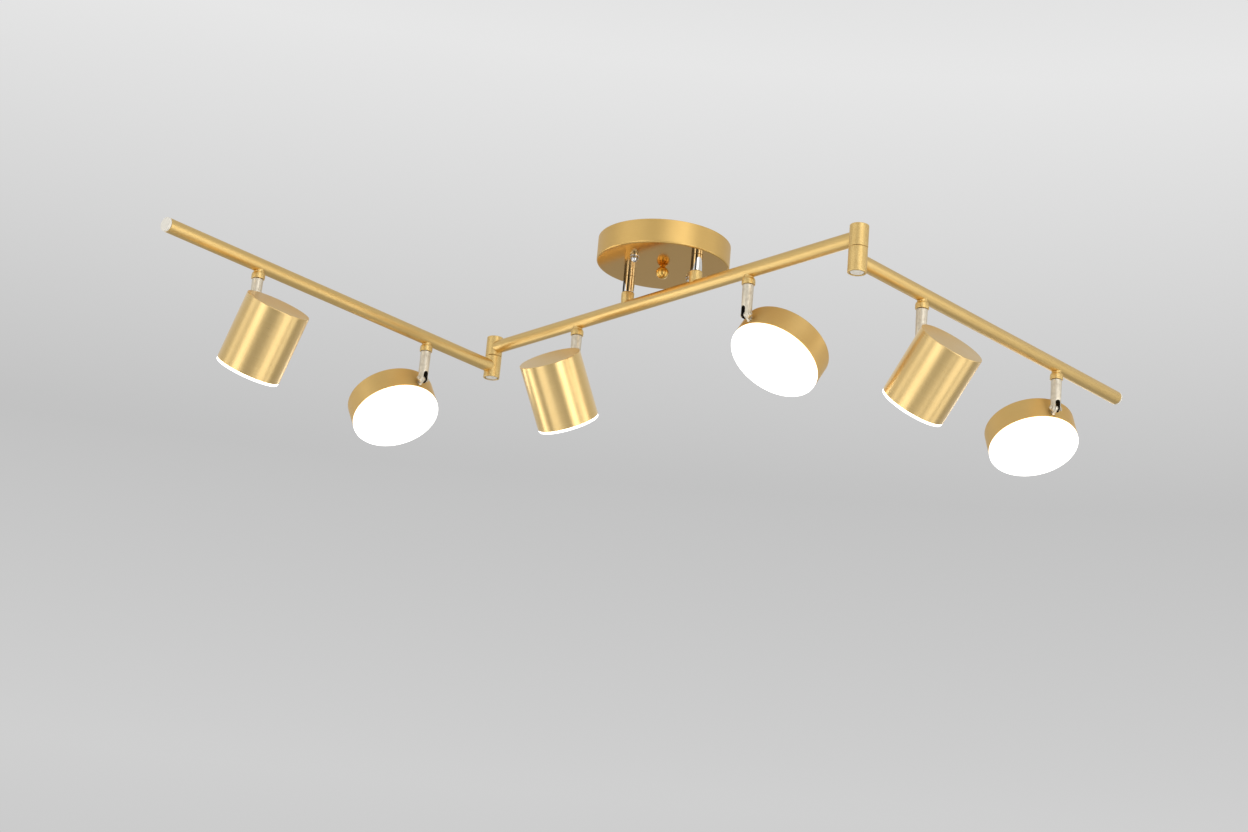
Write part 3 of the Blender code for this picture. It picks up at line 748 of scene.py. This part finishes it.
def make_tongue(number, head):
    """The flat tongue in the fork, on local X, with its stud and the nut inside the can."""
    node = f"spot_{number}_tongue"
    rim = extent(f"spot_{number}_housing", head)[0].x
    inside = extent(node, head)[1].x
    eye, half, foot = 0.0024, 0.0013, 0.0032
    outline = [(eye * cos(radians(a)), eye * sin(radians(a))) for a in range(90, 271, 12)]
    outline += [(rim - 0.0012, -eye), (rim - 0.0004, -foot), (rim - 0.0001, -foot)]
    outline += [(rim - 0.0001, foot), (rim - 0.0004, foot), (rim - 0.0012, eye)]
    tongue = prism(f"{node}_filed", outline, -half, half, head, LOOKS["nickel"], edge=0.0003)
    carve(tongue, bore_cutter(0.0014, head))
    install(tongue, f"spot_{number}_head", "chrome", node)
    shank, nut = 0.0021, 0.0029
    outward = head @ Matrix.Rotation(pi / 2, 4, "Y")
    corners = [(0, rim - 0.0012, 0), (shank, rim - 0.0012, 0), (shank, inside - 0.0016, 0)]
    corners += [(nut, inside - 0.0016, 0.0003), (nut, inside, 0.0003), (0, inside, 0)]
    stud = lathe(f"spot_{number}_stud", corners, PIN_STEPS, outward, LOOKS["zinc"])
    install(stud, f"spot_{number}_head", "chrome")


def make_head(number, head):
    """The spun can and its opal diffuser, turned about the can's own axis along the light."""
    body = f"spot_{number}_head"
    node = f"spot_{number}_housing"
    low, high = extent(node, head)
    place = head @ Matrix.Translation(((low.x + high.x) / 2, 0, 0))
    radius, length = (high.y - low.y) / 2, high.z - low.z
    look = LOOKS["drum"] if length > radius else LOOKS["disc"]
    inner, floor, edge = radius - 0.0015, low.z + 0.0020, 0.0006
    corners = [(0, low.z, 0), (radius, low.z, edge), (radius, high.z, 0.0002), (inner, high.z, 0.0002)]
    corners += [(inner, floor, 0), (0, floor, 0)]
    can = lathe(f"{node}_spun", corners, WIDE_STEPS, place, look)
    install(can, body, "brushed_brass", node)

    node = f"spot_{number}_diffuser"
    low, high = extent(node, place)
    rim, seat = (high.y - low.y) / 2, high.z - 0.0023
    skirt, skirt_inside = rim - 0.0016, rim - 0.0032
    corners = [(0, high.z + 0.0004, 0), (rim * 0.5, high.z + 0.0003, 0), (rim, high.z - 0.0001, 0.0009)]
    corners += [(rim, seat, 0.0002), (skirt, seat, 0), (skirt, low.z, 0), (skirt_inside, low.z, 0)]
    corners += [(skirt_inside, seat, 0), (0, seat, 0)]
    lens = lathe(f"{node}_moulded", corners[::-1], WIDE_STEPS, place, LOOKS["opal"])
    install(lens, body, "opal_acrylic", node)


def make_spot(number):
    swivel, head = spot_frames(number)
    make_sleeve(number, swivel)
    make_pin(number, swivel)
    make_tongue(number, head)
    make_head(number, head)


# ------------------------------------------------------------------------------- carried over CAD

def soften(node, look, edge):
    """Gives a CAD node that stays its material, with its edges rounded a little."""
    obj = frame["nodes"][node]
    obj.data.materials.clear()
    obj.data.materials.append(look)
    if edge:
        bevel = obj.modifiers.new("soft_edges", "BEVEL")
        bevel.width = edge
        bevel.segments = 3
        bevel.limit_method = "ANGLE"
        bevel.angle_limit = radians(50)


def keep_inner_parts():
    soften("mounting_strap", LOOKS["zinc"], 0.0003)
    soften("led_driver", LOOKS["driver"], 0)
    soften("terminal_block", LOOKS["terminal"], 0.0004)
    for side in SIDES:
        soften(f"post_nut_{side}", LOOKS["zinc"], 0.0002)
        soften(f"knuckle_bolt_{side}", LOOKS["zinc"], 0)
    for number in range(1, SPOT_COUNT + 1):
        soften(f"spot_{number}_led_board", LOOKS["board"], 0)


# ----------------------------------------------------------------------------------------- stage

def make_camera():
    yaw, pitch, roll = radians(CAMERA_YAW), radians(CAMERA_PITCH), radians(CAMERA_ROLL)
    ahead = Vector((-sin(yaw) * cos(pitch), cos(yaw) * cos(pitch), sin(pitch)))
    level = Vector((cos(yaw), sin(yaw), 0))
    rise = level.cross(ahead)
    across = level * cos(roll) + rise * sin(roll)
    up = rise * cos(roll) - level * sin(roll)
    data = bpy.data.cameras.new("camera")
    data.lens = CAMERA_LENS
    camera = bpy.data.objects.new("camera", data)
    bpy.context.scene.collection.objects.link(camera)
    matrix = Matrix((across, up, -ahead)).transposed().to_4x4()
    matrix.translation = Vector(CAMERA_PLACE)
    camera.matrix_world = matrix
    bpy.context.scene.camera = camera


def make_softbox(name, bearing, elevation, size, power):
    """A large soft light that faces the lamp, by its bearing from the camera's side and its elevation."""
    yaw, rise = radians(CAMERA_YAW + bearing), radians(elevation)
    towards = Vector((sin(yaw) * cos(rise), -cos(yaw) * cos(rise), sin(rise)))
    data = bpy.data.lights.new(name, "AREA")
    data.shape = "RECTANGLE"
    data.size, data.size_y = size
    data.energy = power
    light = bpy.data.objects.new(name, data)
    bpy.context.scene.collection.objects.link(light)
    light.location = Vector((0, 0, -LAMP_MIDDLE)) + towards * LIGHT_DISTANCE
    light.rotation_euler = (-towards).to_track_quat("-Z", "Y").to_euler()
    light.visible_camera = False


def make_floor():
    """A round pale floor, lighter towards its far edge, where it meets the tone of the room."""
    shape = bmesh.new()
    bmesh.ops.create_circle(shape, cap_ends=True, segments=WIDE_STEPS, radius=FLOOR_RADIUS)
    look = Look("pale_floor", Roughness=0.9)
    patch = look.spread(look.noise(look.place, 1.5, 3.0), 0.0, 1.0)
    away = look.add("ShaderNodeVectorMath", {0: look.place}, operation="LENGTH").outputs["Value"]
    edge = look.spread(away, 0.0, 1.0, FLOOR_RADIUS * 0.5, FLOOR_RADIUS)
    middle = look.mixed(patch, (0.60, 0.60, 0.60), (0.58, 0.58, 0.58))
    look.paint(look.mixed(edge, middle, (0.80, 0.80, 0.80)))
    floor = add_shape("floor", shape, Matrix.Translation((0, 0, -FLOOR_DROP)), [look.material])


def make_world():
    """A pale room, whose brightness changes only with height."""
    world = bpy.data.worlds.new("pale_room")
    world.use_nodes = True
    tree = world.node_tree
    place = tree.nodes.new("ShaderNodeTexCoord").outputs["Generated"]
    height = tree.nodes.new("ShaderNodeSeparateXYZ")
    tree.links.new(place, height.inputs[0])
    ramp = tree.nodes.new("ShaderNodeValToRGB")
    while len(ramp.color_ramp.elements) < len(ROOM_TONES):
        ramp.color_ramp.elements.new(0.5)
    for element, (position, tone) in zip(ramp.color_ramp.elements, ROOM_TONES):
        element.position = position
        element.color = (tone, tone, tone, 1)
    half = tree.nodes.new("ShaderNodeMapRange")
    half.inputs["From Min"].default_value = -1.0
    tree.links.new(height.outputs["Z"], half.inputs["Value"])
    tree.links.new(half.outputs["Result"], ramp.inputs["Fac"])
    tree.links.new(ramp.outputs["Color"], tree.nodes["Background"].inputs["Color"])
    bpy.context.scene.world = world


def make_stage():
    bpy.context.scene.view_settings.view_transform = "Standard"
    make_camera()
    make_world()
    make_floor()
    for softbox in SOFTBOXES:
        make_softbox(*softbox)


def main():
    make_canopy()
    make_finial()
    for side in SIDES:
        make_cap_nut(side)
        make_post(side)
    make_bars()
    for number in range(1, SPOT_COUNT + 1):
        make_spot(number)
    keep_inner_parts()
    make_stage()


main()
